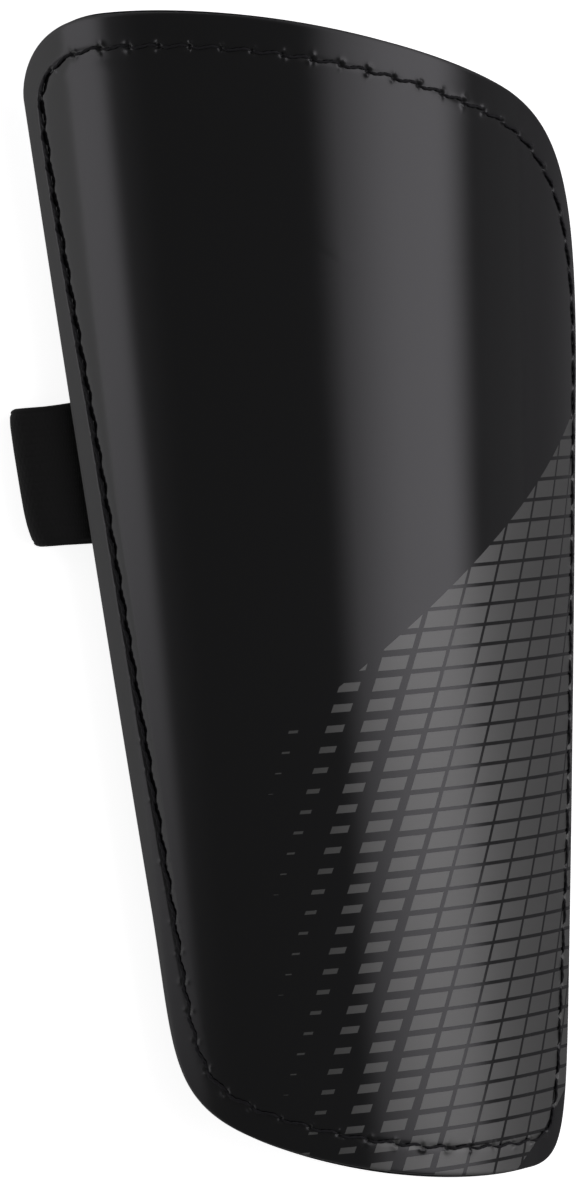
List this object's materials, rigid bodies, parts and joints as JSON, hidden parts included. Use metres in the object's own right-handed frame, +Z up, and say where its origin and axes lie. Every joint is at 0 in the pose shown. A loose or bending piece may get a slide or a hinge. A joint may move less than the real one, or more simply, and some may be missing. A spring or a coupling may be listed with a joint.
{
  "type": "football shin guard",
  "caption": "Curved football shin guard: a glossy hard shell sewn onto a foam backing, with an elastic calf strap, lying hollow side down.",
  "frame": {"origin": "centre of the bounding box in plan, on the surface that the guard rests on", "axes": "+Y along the crest towards the knee end, +X towards the guard's wide side, +Z up, away from the leg"},
  "size_m": [0.1154, 0.22, 0.0393],
  "materials": {
    "shell": "glossy moulded black plastic with a grey printed band",
    "foam": "matte closed-cell black foam",
    "strap": "woven black elastic webbing"
  },
  "bodies": {
    "root": {"shell": "shell", "foam_backing": "foam", "strap": "strap"}
  },
  "joints": []
}
